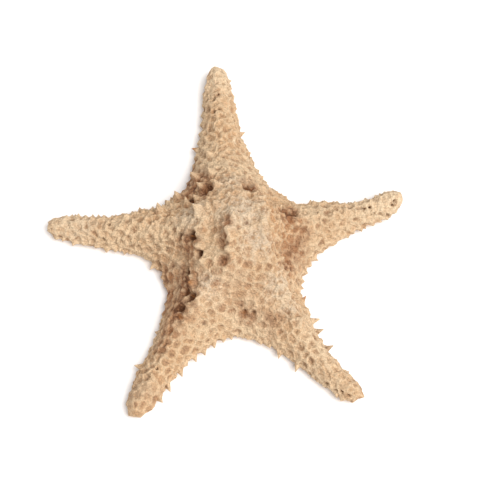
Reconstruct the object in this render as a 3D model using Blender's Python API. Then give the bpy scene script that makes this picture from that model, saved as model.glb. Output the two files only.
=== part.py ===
"""A dried starfish, modelled as the one hard piece that it is.

Five keeled arms grow out of a high domed disc. A raised net of ridges with shallow pits
between them covers the upper side. Small thorns stand along the margin, on the keels and on
the disc. The flat underside has a mouth and a groove out along each arm.

Sizes are in millimetres, with the middle of the disc over the origin, +Z up and the longest
arm near +Y. The finished mesh is moved to the middle of its outline and scaled to metres.
"""
import math
import random
from collections import namedtuple

import bmesh
import bpy
import numpy as np
from mathutils import Vector
from mathutils.kdtree import KDTree

# Driving dimensions of the body
DISC_RADIUS = 39.0
DISC_HEIGHT = 50.0
MARGIN_HEIGHT = 5.5
MARGIN_DEPTH = 9.4
TIP_HALF_WIDTH = 7.0
TIP_ROUND = 9.0
ROOT_EXTRA_WIDTH = 5.2
FLARE_WIDTH = 128.0
FLARE_SHARE = 0.17
FLARE_BLEND = 6.0
KEEL_POWER = 1.55
BELLY_POWER = 2.0
BREADTH_FROM = 0.3
LIFT_FROM = 0.6
WEB_BLEND = 3.0
DISC_CENTRE = (6.1, -10.9)

# Crest height of an arm as a share of the disc's height, from the centre to the tip
CREST_STATIONS = (0.0, 0.10, 0.20, 0.32, 0.45, 0.60, 0.75, 0.90, 1.0)
CREST_SHARES = (1.0, 0.97, 0.84, 0.63, 0.49, 0.41, 0.34, 0.28, 0.25)

# Heading in degrees from +X, length from the centre, share of the common width, sideways
# sway at half length, sideways hook at the tip and lift of the tip
Arm = namedtuple("Arm", "heading length breadth sway hook lift")
ARMS = (
    Arm(heading=17.2, length=120.5, breadth=0.90, sway=-1.0, hook=3.0, lift=8.0),
    Arm(heading=95.3, length=141.5, breadth=1.12, sway=1.5, hook=0.0, lift=3.0),
    Arm(heading=172.9, length=127.0, breadth=0.98, sway=-3.2, hook=-1.8, lift=3.0),
    Arm(heading=241.4, length=134.0, breadth=1.03, sway=-1.6, hook=-0.6, lift=2.0),
    Arm(heading=305.6, length=133.0, breadth=0.96, sway=-4.0, hook=5.3, lift=2.0),
)

# Broad swellings (positive) and dents (negative): heading, distance, height, radius, amount
Swell = namedtuple("Swell", "heading distance height radius amount")
SWELLS = (
    Swell(heading=272.0, distance=55.0, height=8.0, radius=22.0, amount=5.9),
    Swell(heading=132.0, distance=40.0, height=24.0, radius=13.0, amount=-8.5),
    Swell(heading=207.0, distance=38.0, height=22.0, radius=14.0, amount=-8.5),
    Swell(heading=219.0, distance=53.0, height=14.0, radius=11.0, amount=-4.5),
    Swell(heading=56.0, distance=40.0, height=24.0, radius=13.0, amount=-6.5),
    Swell(heading=347.0, distance=37.0, height=26.0, radius=12.0, amount=-9.0),
    Swell(heading=10.0, distance=36.0, height=28.0, radius=10.0, amount=-4.0),
    Swell(heading=325.0, distance=52.0, height=16.0, radius=10.0, amount=-4.0),
    Swell(heading=190.0, distance=13.0, height=46.0, radius=11.0, amount=-4.6),
    Swell(heading=277.0, distance=44.0, height=26.0, radius=15.0, amount=-3.4),
    Swell(heading=207.0, distance=58.0, height=8.0, radius=16.0, amount=-2.6),
    Swell(heading=60.0, distance=58.0, height=8.0, radius=13.0, amount=-6.2),
    Swell(heading=41.0, distance=60.0, height=8.0, radius=9.0, amount=3.4),
    Swell(heading=11.0, distance=80.0, height=8.0, radius=14.0, amount=-2.0),
    Swell(heading=127.0, distance=61.0, height=8.0, radius=13.0, amount=-2.4),
    Swell(heading=194.0, distance=58.0, height=8.0, radius=12.0, amount=-2.6),
    Swell(heading=222.0, distance=72.0, height=8.0, radius=14.0, amount=-1.6),
    Swell(heading=234.0, distance=112.0, height=8.0, radius=12.0, amount=1.5),
    Swell(heading=256.0, distance=73.0, height=8.0, radius=12.0, amount=1.5),
    Swell(heading=319.0, distance=68.0, height=8.0, radius=10.0, amount=1.8),
    Swell(heading=100.0, distance=137.0, height=8.0, radius=9.0, amount=-1.3),
    Swell(heading=90.5, distance=137.0, height=8.0, radius=9.0, amount=-1.3),
    Swell(heading=29.6, distance=67.0, height=10.0, radius=14.0, amount=3.6),
    Swell(heading=153.4, distance=68.0, height=10.0, radius=14.0, amount=2.4),
    Swell(heading=188.0, distance=71.0, height=8.0, radius=13.0, amount=-3.0),
)

# Crests of the disc, each a line of plan points: its points, half width and rise
Crest = namedtuple("Crest", "points half_width rise")
CRESTS = (
    Crest(points=((-2.0, 2.0), (-2.0, -27.0), (-18.0, -38.0), (-29.0, -54.0)), half_width=4.6, rise=4.4),
    Crest(points=((16.0, 25.0), (21.0, 10.0), (21.0, -14.0), (31.0, -34.0), (43.0, -58.0)),
          half_width=5.0, rise=5.0),
    Crest(points=((-22.0, 16.0), (-22.0, -8.0)), half_width=4.0, rise=2.4),
    Crest(points=((4.0, 26.0), (-2.0, 48.0)), half_width=5.0, rise=2.4),
)
CREST_FOOT = 12.0
CREST_FULL = 22.0

# Hollows eaten into the upper side: x, y, radius and depth
HOLLOWS = (
    (-4.7, -1.0, 5.0, 2.4), (-6.7, -12.7, 3.8, 3.6), (-5.7, -24.0, 3.6, 3.2), (-27.2, -5.2, 4.2, 5.5),
    (-35.3, -1.3, 2.6, 3.4), (-21.8, -17.2, 3.4, 4.5), (-29.9, -23.3, 4.0, 4.5), (-27.6, -42.6, 4.4, 5.0),
    (-31.7, -38.1, 3.6, 4.0), (-34.2, -48.8, 4.0, 3.6), (-17.2, 33.0, 4.4, 4.5), (-28.0, 30.0, 4.4, 4.0),
    (9.5, 31.2, 3.2, 4.5), (22.3, 14.2, 2.4, 3.5), (38.9, 19.0, 3.2, 4.0), (33.5, 18.6, 2.6, 3.5),
    (45.5, 5.6, 3.6, 2.8), (42.2, -4.6, 4.4, 3.4), (31.3, -16.2, 3.4, 3.4), (7.2, -49.9, 1.5, 2.6),
    (13.1, -50.9, 1.9, 2.8), (25.8, -55.3, 2.2, 2.2),
)
HOLLOW_STEEPNESS = 0.7

# Net of ridges
NET_SPACING_DISC = 7.6
NET_SPACING_TIP = 5.6
NET_CLOSENESS = 0.8
NET_FROM_HEIGHT = 0.6
NET_FULL_HEIGHT = 2.6
RIDGE_HEIGHT = 0.8
RIDGE_WIDTH = 1.3
KNOT_HEIGHT = 0.7
KNOT_WIDTH = 1.6

# Teeth of the margin, closer than the clearance to no long thorn
MARGIN_SPACING = 6.8
MARGIN_TOOTH = 1.9
LONG_CLEARANCE = 4.5

# Long thorns of the margin: x, y, length, and the heading in which each one points
Thorn = namedtuple("Thorn", "x y length heading")
LONG_MARGIN_THORNS = (
    Thorn(54.0, -6.0, 5.0, 332.0), Thorn(58.5, 0.5, 2.2, 320.0), Thorn(45.5, -26.2, 3.4, 325.0),
    Thorn(45.4, -36.8, 5.2, 57.0), Thorn(52.7, -50.5, 6.5, 12.0), Thorn(54.9, -58.0, 6.0, 15.0),
    Thorn(60.5, -70.4, 6.0, 20.0), Thorn(72.0, -89.0, 2.2, 40.0), Thorn(17.0, -66.5, 3.4, 285.0),
    Thorn(22.5, -68.5, 3.4, 290.0), Thorn(29.4, -73.1, 5.6, 262.0), Thorn(35.0, -76.0, 2.2, 290.0),
    Thorn(40.9, -81.6, 6.2, 258.0), Thorn(50.5, -89.0, 2.8, 255.0), Thorn(67.3, -100.9, 4.0, 278.0),
    Thorn(-1.5, -61.0, 3.0, 275.0), Thorn(-6.2, -63.8, 3.4, 272.0), Thorn(-12.5, -67.0, 4.0, 282.0),
    Thorn(-19.5, -71.0, 4.6, 285.0), Thorn(-25.5, -75.5, 5.0, 288.0), Thorn(-34.5, -85.0, 6.4, 285.0),
    Thorn(-42.0, -96.0, 6.4, 288.0), Thorn(-49.0, -104.0, 5.4, 305.0), Thorn(-61.0, -82.5, 6.5, 170.0),
    Thorn(-48.5, -59.5, 3.4, 165.0), Thorn(-54.1, -10.4, 5.4, 235.0), Thorn(-70.0, 0.5, 2.2, 250.0),
    Thorn(-85.5, 2.2, 4.6, 260.0), Thorn(-107.2, 7.9, 4.6, 245.0), Thorn(-115.0, 9.5, 2.2, 250.0),
    Thorn(-123.5, 20.5, 3.2, 160.0), Thorn(-107.3, 24.3, 4.2, 105.0), Thorn(-97.0, 24.0, 2.2, 95.0),
    Thorn(-63.0, 27.0, 3.2, 100.0), Thorn(-24.8, 77.3, 6.0, 172.0), Thorn(-26.0, 69.5, 3.2, 150.0),
    Thorn(-4.6, 131.5, 3.6, 15.0), Thorn(5.0, 91.5, 2.8, 30.0), Thorn(84.6, 36.0, 2.4, 95.0),
    Thorn(91.1, 37.4, 2.4, 95.0), Thorn(99.6, 37.8, 2.4, 100.0), Thorn(104.8, 40.5, 2.0, 100.0),
    Thorn(107.9, 42.3, 2.4, 95.0), Thorn(98.5, 24.0, 3.2, 305.0), Thorn(88.0, 19.5, 2.8, 295.0),
)
MARGIN_THORN_RISE = 0.25

# Thorns of the disc: x, y and length
DISC_THORNS = (
    (-37.2, 34.4, 6.0), (-30.8, 26.9, 6.0), (-23.3, 27.0, 5.5), (-23.0, 12.1, 6.5), (-16.7, 13.0, 5.5),
    (-11.5, 14.3, 4.0), (-49.6, 21.5, 7.5), (-25.2, 49.0, 6.5), (-14.8, 47.6, 6.5), (-11.2, 34.0, 5.0),
    (-20.8, 37.5, 6.5), (6.8, 39.7, 6.0), (10.8, 35.0, 6.0), (-33.5, -16.9, 5.0), (-22.5, -12.5, 5.5),
    (-19.1, -22.5, 6.0), (-26.4, -29.9, 4.0), (-26.4, -34.4, 5.5), (-3.0, -7.0, 5.0), (-3.0, -19.5, 5.0),
    (-16.7, 65.9, 6.0), (19.4, 21.5, 4.0), (30.8, 21.0, 4.0), (28.6, 6.4, 4.5), (27.9, -5.9, 5.0),
    (29.5, -18.5, 5.5), (33.2, -26.2, 4.5), (38.1, 8.0, 4.0), (-3.0, 22.0, 4.0), (6.0, 18.0, 3.5),
    (12.0, 8.0, 3.0), (14.0, -8.0, 3.0), (-40.0, 12.0, 4.0), (-58.0, 16.0, 3.5), (-66.0, 22.0, 3.5),
)
DISC_THORN_RISE = 0.3
KEEL_THORN = 2.2
KEEL_SPACING = 9.0
KEEL_FROM = 42.0
KEEL_STOP = 12.0
KEEL_SHIFT_ALONG = 2.0
KEEL_SHIFT_ACROSS = 3.0
UNEVEN = (0.6, 1.2)
THORN_SLIMNESS = 0.26
CONE_SLIMNESS = 0.4
THORN_LEAST_RADIUS = 1.5
THORN_POINT = 1.25

# Underside
GROOVE_HALF_WIDTH = 3.2
GROOVE_DEPTH = 4.0
GROOVE_END = 0.92
GROOVE_END_SLOPE = 0.04
MOUTH_RADIUS = 7.0
MOUTH_DEPTH = 7.0

# Mesh
EDGE_STEPS = (24.0, 16.0, 16.0, 10.0, 10.0, 7.0, 7.0, 5.0, 5.0, 3.5, 3.5, 2.6, 1.8, 1.8)
CAGE_STATIONS = (0.42, 0.55, 0.70, 0.85, 0.96)
CAGE_FOOT = 1.3
CAGE_TOP = 0.7
CAGE_HEIGHT = 0.7
CAGE_WIDTH = 0.75
CAGE_RIDGE = 0.95
CAGE_SHOULDER = 0.5
CAGE_END = 0.6
CAGE_END_HEIGHT = 0.84
TRIANGLES = 9300
SEED = 12
MM = 0.001


def smooth_least(first, second, blend):
    """Smaller of two values, rounded over where they cross."""
    share = np.clip(0.5 + 0.5 * (second - first) / blend, 0.0, 1.0)
    return second * (1.0 - share) + first * share - blend * share * (1.0 - share)


def half_width(part):
    """Half width of an arm at a part of its length: a slow taper that flares into the disc."""
    flare = TIP_HALF_WIDTH + ROOT_EXTRA_WIDTH * (1.0 - part) + FLARE_WIDTH * np.exp(-part / FLARE_SHARE)
    return smooth_least(flare, DISC_RADIUS, FLARE_BLEND)


def lift_share(part):
    """Share of the tip's lift at a part of an arm's length."""
    return np.clip((part - LIFT_FROM) / (1.0 - LIFT_FROM), 0.0, 1.0) ** 2


def arm_coordinates(arm, x, y):
    """Distance along an arm, across it, and the part of its length."""
    heading = math.radians(arm.heading)
    along = x * math.cos(heading) + y * math.sin(heading)
    across = y * math.cos(heading) - x * math.sin(heading)
    part = np.clip(along / arm.length, 0.0, 1.0)
    across = across - arm.sway * np.sin(math.pi * part) - arm.hook * part ** 4
    return along, across, part


def arm_distance(arm, x, y, z):
    """Rough distance outside one arm, whose section is a keel above and round below."""
    along, across, part = arm_coordinates(arm, x, y)
    width = half_width(part) * (1.0 + (arm.breadth - 1.0) * np.clip(part / BREADTH_FROM, 0.0, 1.0))
    crest = DISC_HEIGHT * np.interp(part, CREST_STATIONS, CREST_SHARES)
    rise = z - MARGIN_HEIGHT - arm.lift * lift_share(part)
    upright = np.where(rise > 0.0, rise / (crest - MARGIN_HEIGHT), -rise / MARGIN_DEPTH)
    keel = np.where(rise > 0.0, KEEL_POWER, BELLY_POWER)
    behind = np.maximum(-along, 0.0) / DISC_RADIUS
    flat = np.sqrt((across / width) ** 2 + behind ** 2)
    section = (flat ** keel + upright ** keel) ** (1.0 / keel)
    beyond = np.maximum(along - (arm.length - TIP_ROUND), 0.0) / TIP_ROUND
    return (np.sqrt(section ** 2 + beyond ** 2) - 1.0) * width


def polar(heading, distance):
    """Plan position at a heading in degrees and a distance from the centre."""
    return distance * math.cos(math.radians(heading)), distance * math.sin(math.radians(heading))


def line_distance(x, y, corners):
    """Plan distance from a line of points."""
    gaps = []
    for (start_x, start_y), (end_x, end_y) in zip(corners, corners[1:]):
        run_x, run_y = end_x - start_x, end_y - start_y
        share = ((x - start_x) * run_x + (y - start_y) * run_y) / (run_x ** 2 + run_y ** 2)
        share = np.clip(share, 0.0, 1.0)
        gaps.append(np.hypot(x - start_x - run_x * share, y - start_y - run_y * share))
    return np.min(gaps, axis=0)


def form(points):
    """Rough distance of points outside the body: its arms blended, swollen, dented and crested."""
    x, y, z = points.T
    closeness = sum(np.exp(-np.clip(arm_distance(arm, x, y, z), -60, 60) / WEB_BLEND) for arm in ARMS)
    distance = -WEB_BLEND * np.log(closeness)
    for swell in SWELLS:
        place_x, place_y = polar(swell.heading, swell.distance)
        gap = (x - place_x) ** 2 + (y - place_y) ** 2 + (z - swell.height) ** 2
        distance = distance - swell.amount * np.exp(-gap / swell.radius ** 2)
    height = np.clip((z - CREST_FOOT) / (CREST_FULL - CREST_FOOT), 0.0, 1.0)
    for crest in CRESTS:
        gap = line_distance(x, y, crest.points) / crest.half_width
        distance = distance - crest.rise * height * np.exp(-gap ** 2)
    return distance


def slope(points, step=0.3):
    """Gradient of the form at points."""
    columns = []
    for axis in np.eye(3) * step:
        columns.append((form(points + axis) - form(points - axis)) / (2.0 * step))
    return np.stack(columns, axis=1)


def lay_on_form(points, rounds=4):
    """Move points straight onto the form's surface, or onto the ground where that is nearer."""
    for _ in range(rounds):
        distance = form(points)
        grade = slope(points)
        steepness = np.maximum(np.sum(grade ** 2, axis=1), 0.05)
        step = np.clip(distance / steepness, -6.0, 6.0)
        on_ground = (distance < -points[:, 2]) & (points[:, 2] < MARGIN_HEIGHT)
        curved = points - grade * step[:, None]
        grounded = points * (1.0, 1.0, 0.0)
        points = np.where(on_ground[:, None], grounded, curved)
    points[:, 2] = np.maximum(points[:, 2], 0.0)
    return points


def vertex_array(mesh):
    """Vertex positions of a bmesh as an array."""
    return np.array([vert.co[:] for vert in mesh.verts])


def move_vertices(mesh, points):
    """Put the vertices of a bmesh at the given positions."""
    for vert, point in zip(mesh.verts, points):
        vert.co = point


def spoke_angles():
    """Even spoke angles of the drum, and where they go: every fourth one onto an arm."""
    even = [90.0 * turn * 4 / len(ARMS) for turn in range(len(ARMS) + 1)]
    wanted = [arm.heading for arm in ARMS] + [ARMS[0].heading + 360.0]
    return even, wanted


def make_cage():
    """Drum with four spokes to an arm, whose side faces are drawn out into the five arms."""
    cage = bmesh.new()
    height = DISC_HEIGHT * CAGE_HEIGHT
    bmesh.ops.create_cone(cage, cap_ends=True, cap_tris=True, segments=4 * len(ARMS), depth=height,
                          radius1=DISC_RADIUS * CAGE_FOOT, radius2=DISC_RADIUS * CAGE_TOP)
    bmesh.ops.translate(cage, verts=cage.verts, vec=(0.0, 0.0, height / 2.0))
    even, wanted = spoke_angles()
    for vert in cage.verts:
        radius = math.hypot(vert.co.x, vert.co.y)
        angle = math.degrees(math.atan2(vert.co.y, vert.co.x)) % 360.0
        vert.co.x, vert.co.y = polar(float(np.interp(angle, even, wanted)), radius)
    for arm in ARMS:
        draw_out_arm(cage, arm)
    return cage


def section_corner(arm, station, side, upper):
    """Place of one of the six corners of an arm's section: left, middle or right, up or down."""
    last = station == CAGE_STATIONS[-1]
    width = float(half_width(station)) * arm.breadth * CAGE_WIDTH * (CAGE_END if last else 1.0)
    height = arm.lift * float(lift_share(station))
    if upper:
        crest = DISC_HEIGHT * float(np.interp(station, CREST_STATIONS, CREST_SHARES))
        height += crest * (CAGE_SHOULDER if side else CAGE_RIDGE) * (CAGE_END_HEIGHT if last else 1.0)
    across = arm.sway * math.sin(math.pi * station) + arm.hook * station ** 4 + side * width
    along_x, along_y = polar(arm.heading, arm.length * station)
    across_x, across_y = polar(arm.heading + 90.0, across)
    return along_x + across_x, along_y + across_y, height


def draw_out_arm(cage, arm):
    """Extrude the two side faces at an arm's heading from station to station to its tip."""
    outward = Vector((*polar(arm.heading, 1.0), 0.0))
    cage.normal_update()
    faces = [face for face in cage.faces if abs(face.normal.z) < 0.8
             and face.calc_center_median().xy.normalized().dot(outward.xy) > 0.97]
    corners = {}
    for vert in {vert for face in faces for vert in face.verts}:
        across = vert.co.y * outward.x - vert.co.x * outward.y
        side = 0 if abs(across) < 1.0 else int(math.copysign(1, across))
        corners[vert] = (side, vert.co.z > MARGIN_HEIGHT)
    for station in CAGE_STATIONS:
        grown = bmesh.ops.extrude_face_region(cage, geom=faces)["geom"]
        bmesh.ops.delete(cage, geom=faces, context="FACES")
        faces = [item for item in grown if isinstance(item, bmesh.types.BMFace)]
        for vert in {vert for face in faces for vert in face.verts}:
            nearest = min(corners, key=lambda old: (old.co - vert.co).length)
            corners[vert] = corners[nearest]
        corners = {vert: corners[vert] for vert in {vert for face in faces for vert in face.verts}}
        for vert, (side, upper) in corners.items():
            vert.co = section_corner(arm, station, side, upper)
    for tip in bmesh.ops.poke(cage, faces=faces)["verts"]:
        tip.co += outward * arm.length * (1.0 - CAGE_STATIONS[-1])


def refine(mesh, longest):
    """Halve the long edges, even out the triangles and lay the vertices on the form."""
    long_edges = [edge for edge in mesh.edges if edge.calc_length() > longest]
    bmesh.ops.subdivide_edges(mesh, edges=long_edges, cuts=1)
    bmesh.ops.triangulate(mesh, faces=mesh.faces[:])
    for _ in range(2):
        bmesh.ops.beautify_fill(mesh, faces=mesh.faces[:], edges=mesh.edges[:])
        bmesh.ops.smooth_vert(mesh, verts=mesh.verts[:], factor=0.5,
                              use_axis_x=True, use_axis_y=True, use_axis_z=True)
        move_vertices(mesh, lay_on_form(vertex_array(mesh)))


def make_body():
    """Smooth body: the cage refined until no edge is longer than the finest one."""
    body = make_cage()
    for longest in EDGE_STEPS:
        refine(body, longest)
    return body


def net_spacing(points):
    """Spacing of the net's pits, which shrinks from the disc out to the tips."""
    reach = np.hypot(points[:, 0], points[:, 1]) / ARMS[1].length
    return NET_SPACING_DISC + (NET_SPACING_TIP - NET_SPACING_DISC) * np.clip(reach, 0.0, 1.0)


def tree_of(points):
    """Search tree over points."""
    tree = KDTree(len(points))
    for index, point in enumerate(points):
        tree.insert(point, index)
    tree.balance()
    return tree


def scatter_pits(points):
    """Pit centres spread evenly over the upper side: points kept apart, then evened out."""
    order = list(np.nonzero(points[:, 2] > NET_FROM_HEIGHT)[0])
    random.Random(SEED).shuffle(order)
    spacing = net_spacing(points) * NET_CLOSENESS
    taken = {}
    for index in order:
        cell = tuple(int(value) for value in points[index] // NET_SPACING_DISC)
        around = [(cell[0] + i, cell[1] + j, cell[2] + k)
                  for i in (-1, 0, 1) for j in (-1, 0, 1) for k in (-1, 0, 1)]
        rivals = [rival for place in around for rival in taken.get(place, ())]
        if all(math.dist(points[index], points[rival]) > spacing[index] for rival in rivals):
            taken.setdefault(cell, []).append(index)
    pits = points[[index for group in taken.values() for index in group]]
    for _ in range(6):
        pits = even_out(pits, points[order])
    return pits


def even_out(pits, points):
    """Move each pit centre to the middle of the points nearest to it."""
    tree = tree_of(pits)
    nearest = np.array([tree.find(point)[1] for point in points])
    count = np.maximum(np.bincount(nearest, minlength=len(pits)), 1)
    sums = [np.bincount(nearest, weights=points[:, axis], minlength=len(pits)) for axis in range(3)]
    return np.stack(sums, axis=1) / count[:, None]


def net_relief(points, pits):
    """Height of the net: a ridge half way between two pits and a knot where three meet."""
    tree = tree_of(pits)
    gaps = np.array([[found[2] for found in tree.find_n(point, 3)] for point in points])
    ridge = np.exp(-((gaps[:, 1] - gaps[:, 0]) / RIDGE_WIDTH) ** 2)
    knot = np.exp(-((gaps[:, 2] - gaps[:, 0]) / KNOT_WIDTH) ** 2)
    shore = np.clip((points[:, 2] - NET_FROM_HEIGHT) / (NET_FULL_HEIGHT - NET_FROM_HEIGHT), 0.0, 1.0)
    return shore * (RIDGE_HEIGHT * (ridge - 0.5) + KNOT_HEIGHT * knot)


def top_point(x, y):
    """Point of the upper side above a plan position, found from high up downwards."""
    heights = np.arange(DISC_HEIGHT + 6.0, 0.0, -0.1)
    column = np.stack([np.full_like(heights, x), np.full_like(heights, y), heights], axis=1)
    inside = np.nonzero(form(column) < 0.0)[0]
    return column[inside[0]] if len(inside) else np.array([x, y, MARGIN_HEIGHT])


def hollow_depth(points):
    """Depth of the hollows eaten into the upper side."""
    depth = np.zeros(len(points))
    for x, y, radius, deep in HOLLOWS:
        gap = np.linalg.norm(points - top_point(x, y), axis=1) / radius
        depth = np.maximum(depth, deep * np.clip(1.0 - gap ** 2, 0.0, 1.0) ** HOLLOW_STEEPNESS)
    return depth


def margin_point(heading):
    """Point where a ray from the centre at a heading leaves the body at the margin's height."""
    reach = np.arange(20.0, 160.0, 0.1)
    x, y = polar(heading, 1.0)
    ray = np.stack([reach * x, reach * y, np.full_like(reach, MARGIN_HEIGHT)], axis=1)
    outside = np.nonzero(form(ray) > 0.0)[0]
    return ray[outside[0]]


def margin_near(x, y):
    """Point of the margin nearest to a plan position."""
    point = np.array([[x, y, MARGIN_HEIGHT]])
    for _ in range(12):
        grade = slope(point)[0, :2]
        step = form(point)[0] / max(float(grade @ grade), 0.05)
        point[0, :2] -= grade * np.clip(step, -4.0, 4.0)
    return point[0]


def straight_out(foot, rise=0.0):
    """Direction straight out of the body at a foot, tipped up by a rise."""
    grade = slope(np.array([foot]))[0]
    grade = grade / np.linalg.norm(grade) + (0.0, 0.0, rise)
    return grade / np.linalg.norm(grade)


def thorn_of(foot, direction, length, slimness=THORN_SLIMNESS):
    """One thorn as a row of numbers: foot, direction, length and radius."""
    return (*foot, *direction, length, THORN_LEAST_RADIUS + slimness * length)


def long_margin_thorns():
    """Long thorns of the margin, each turned to its own heading."""
    thorns = []
    for thorn in LONG_MARGIN_THORNS:
        direction = (*polar(thorn.heading, 1.0 - MARGIN_THORN_RISE ** 2 / 2.0), MARGIN_THORN_RISE)
        thorns.append(thorn_of(margin_near(thorn.x, thorn.y), direction, thorn.length))
    return thorns


def margin_teeth(pick, long_feet):
    """Teeth at an even spacing all round the margin, left out close to a long thorn."""
    teeth = []
    travelled = MARGIN_SPACING
    before = margin_point(0.0)
    for heading in np.arange(0.0, 360.0, 0.25):
        here = margin_point(heading)
        travelled += np.linalg.norm(here - before)
        before = here
        clear = np.linalg.norm(long_feet - here, axis=1).min() > LONG_CLEARANCE
        if travelled > MARGIN_SPACING and clear:
            travelled = 0.0
            teeth.append(thorn_of(here, straight_out(here), MARGIN_TOOTH * pick.uniform(*UNEVEN)))
    return teeth


def keel_thorns(pick):
    """Low thorns in an uneven row along the keel of each arm."""
    thorns = []
    for arm in ARMS:
        for along in np.arange(KEEL_FROM, arm.length - KEEL_STOP, KEEL_SPACING):
            x, y = polar(arm.heading, along + pick.uniform(-KEEL_SHIFT_ALONG, KEEL_SHIFT_ALONG))
            across = arm.sway + pick.uniform(-KEEL_SHIFT_ACROSS, KEEL_SHIFT_ACROSS)
            across_x, across_y = polar(arm.heading + 90.0, across)
            foot = top_point(x + across_x, y + across_y)
            thorns.append(thorn_of(foot, straight_out(foot), KEEL_THORN * pick.uniform(*UNEVEN)))
    return thorns


def disc_thorns():
    """Broad cones of the disc, tipped up a little."""
    thorns = []
    for x, y, length in DISC_THORNS:
        foot = top_point(x, y)
        thorns.append(thorn_of(foot, straight_out(foot, DISC_THORN_RISE), length, CONE_SLIMNESS))
    return thorns


def all_thorns():
    """Every thorn of the star, one to a row."""
    pick = random.Random(SEED)
    long_ones = long_margin_thorns()
    teeth = margin_teeth(pick, np.array(long_ones)[:, :3])
    return np.array(long_ones + teeth + keel_thorns(pick) + disc_thorns())


def thorn_push(points):
    """Displacement that draws the surface out into the thorns, steep at the point."""
    tree = tree_of(points)
    push = np.zeros_like(points)
    for row in all_thorns():
        foot, direction, length, radius = row[:3], row[3:6], row[6], row[7]
        for _, index, gap in tree.find_range(foot, radius):
            rise = length * (1.0 - gap / radius) ** THORN_POINT
            if rise > np.linalg.norm(push[index]):
                push[index] = direction * rise
    return push


def groove_rise(points):
    """Height of the roof of the mouth and of the grooves above the flat underside."""
    rise = MOUTH_DEPTH * np.clip(1.0 - (np.hypot(points[:, 0], points[:, 1]) / MOUTH_RADIUS) ** 2, 0, 1)
    for arm in ARMS:
        along, across, part = arm_coordinates(arm, points[:, 0], points[:, 1])
        wall = np.clip(2.0 - 2.0 * np.abs(across) / GROOVE_HALF_WIDTH, 0.0, 1.0)
        end = np.clip((GROOVE_END - part) / GROOVE_END_SLOPE, 0.0, 1.0) * (along > 0.0)
        rise = np.maximum(rise, GROOVE_DEPTH * wall * end)
    return np.where(points[:, 2] < 0.01, rise, 0.0)


def carve(body):
    """Raise the net and thorns on the smooth body, and sink its hollows and grooves."""
    points = vertex_array(body)
    grade = slope(points)
    outward = grade / np.linalg.norm(grade, axis=1)[:, None]
    height = net_relief(points, scatter_pits(points)) - hollow_depth(points)
    shaped = points + outward * height[:, None] + thorn_push(points)
    shaped[:, 2] = np.maximum(shaped[:, 2], 0.0) + groove_rise(points)
    move_vertices(body, shaped)


def thin_out(thing):
    """Keep only the triangles that the shape needs, and make the underside truly flat."""
    reducer = thing.modifiers.new("thin out", "DECIMATE")
    reducer.ratio = TRIANGLES / len(thing.data.polygons)
    reducer.use_collapse_triangulate = True
    graph = bpy.context.evaluated_depsgraph_get()
    thinned = bpy.data.meshes.new_from_object(thing.evaluated_get(graph))
    thing.modifiers.remove(reducer)
    thing.data = thinned
    mesh = bmesh.new()
    mesh.from_mesh(thinned)
    for vert in mesh.verts:
        if vert.co.z < 0.15 * MM:
            vert.co.z = 0.0
    flat_edges = [edge for edge in mesh.edges if all(vert.co.z == 0.0 for vert in edge.verts)]
    bmesh.ops.dissolve_limit(mesh, angle_limit=math.radians(0.1), edges=flat_edges,
                             verts=[vert for vert in mesh.verts if vert.co.z == 0.0])
    bmesh.ops.triangulate(mesh, faces=mesh.faces[:])
    bmesh.ops.recalc_face_normals(mesh, faces=mesh.faces[:])
    mesh.to_mesh(thinned)
    mesh.free()


def dried_skin():
    """Pale sandy cream of a sun-dried star."""
    material = bpy.data.materials.new("dried skin")
    material.use_nodes = True
    shader = material.node_tree.nodes["Principled BSDF"]
    shader.inputs["Base Color"].default_value = (0.62, 0.47, 0.32, 1.0)
    shader.inputs["Roughness"].default_value = 0.85
    shader.inputs["Metallic"].default_value = 0.0
    return material


def main():
    """Clear the scene and build the starfish."""
    for old in list(bpy.data.objects):
        bpy.data.objects.remove(old)
    group = bpy.data.collections.new("dried_starfish")
    bpy.context.scene.collection.children.link(group)
    body = make_body()
    carve(body)
    bmesh.ops.translate(body, verts=body.verts, vec=(*DISC_CENTRE, 0.0))
    bmesh.ops.scale(body, verts=body.verts, vec=(MM, MM, MM))
    data = bpy.data.meshes.new("starfish")
    body.to_mesh(data)
    body.free()
    starfish = bpy.data.objects.new("starfish", data)
    group.objects.link(starfish)
    thin_out(starfish)
    starfish.data.materials.append(dried_skin())


main()
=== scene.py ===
"""A dried starfish on a pale floor: its fine skin, its finish, the light and the camera.

The star's own sizes are in millimetres, with the middle of the disc over the origin, +Z up and
the longest arm near +Y. The finished mesh is moved to its place in the frame and scaled to
metres. Heights of the net, thorns and hollows are worked out for every vertex of a fine mesh.
"""
import math
import random
from collections import namedtuple

import bmesh
import bpy
import numpy as np
from mathutils import Matrix, Vector, noise
from mathutils.kdtree import KDTree


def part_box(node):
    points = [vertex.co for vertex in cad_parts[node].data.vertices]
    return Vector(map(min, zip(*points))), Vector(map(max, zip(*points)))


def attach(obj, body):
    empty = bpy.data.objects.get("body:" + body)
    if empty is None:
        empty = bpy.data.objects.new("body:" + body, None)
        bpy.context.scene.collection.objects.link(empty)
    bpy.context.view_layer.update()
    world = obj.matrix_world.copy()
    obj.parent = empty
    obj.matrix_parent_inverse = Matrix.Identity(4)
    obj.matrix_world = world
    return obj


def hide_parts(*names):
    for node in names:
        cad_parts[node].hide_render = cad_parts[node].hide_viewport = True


MM = 0.001
SEED = 12
SHAKE_SEED = 1795871164

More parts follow.
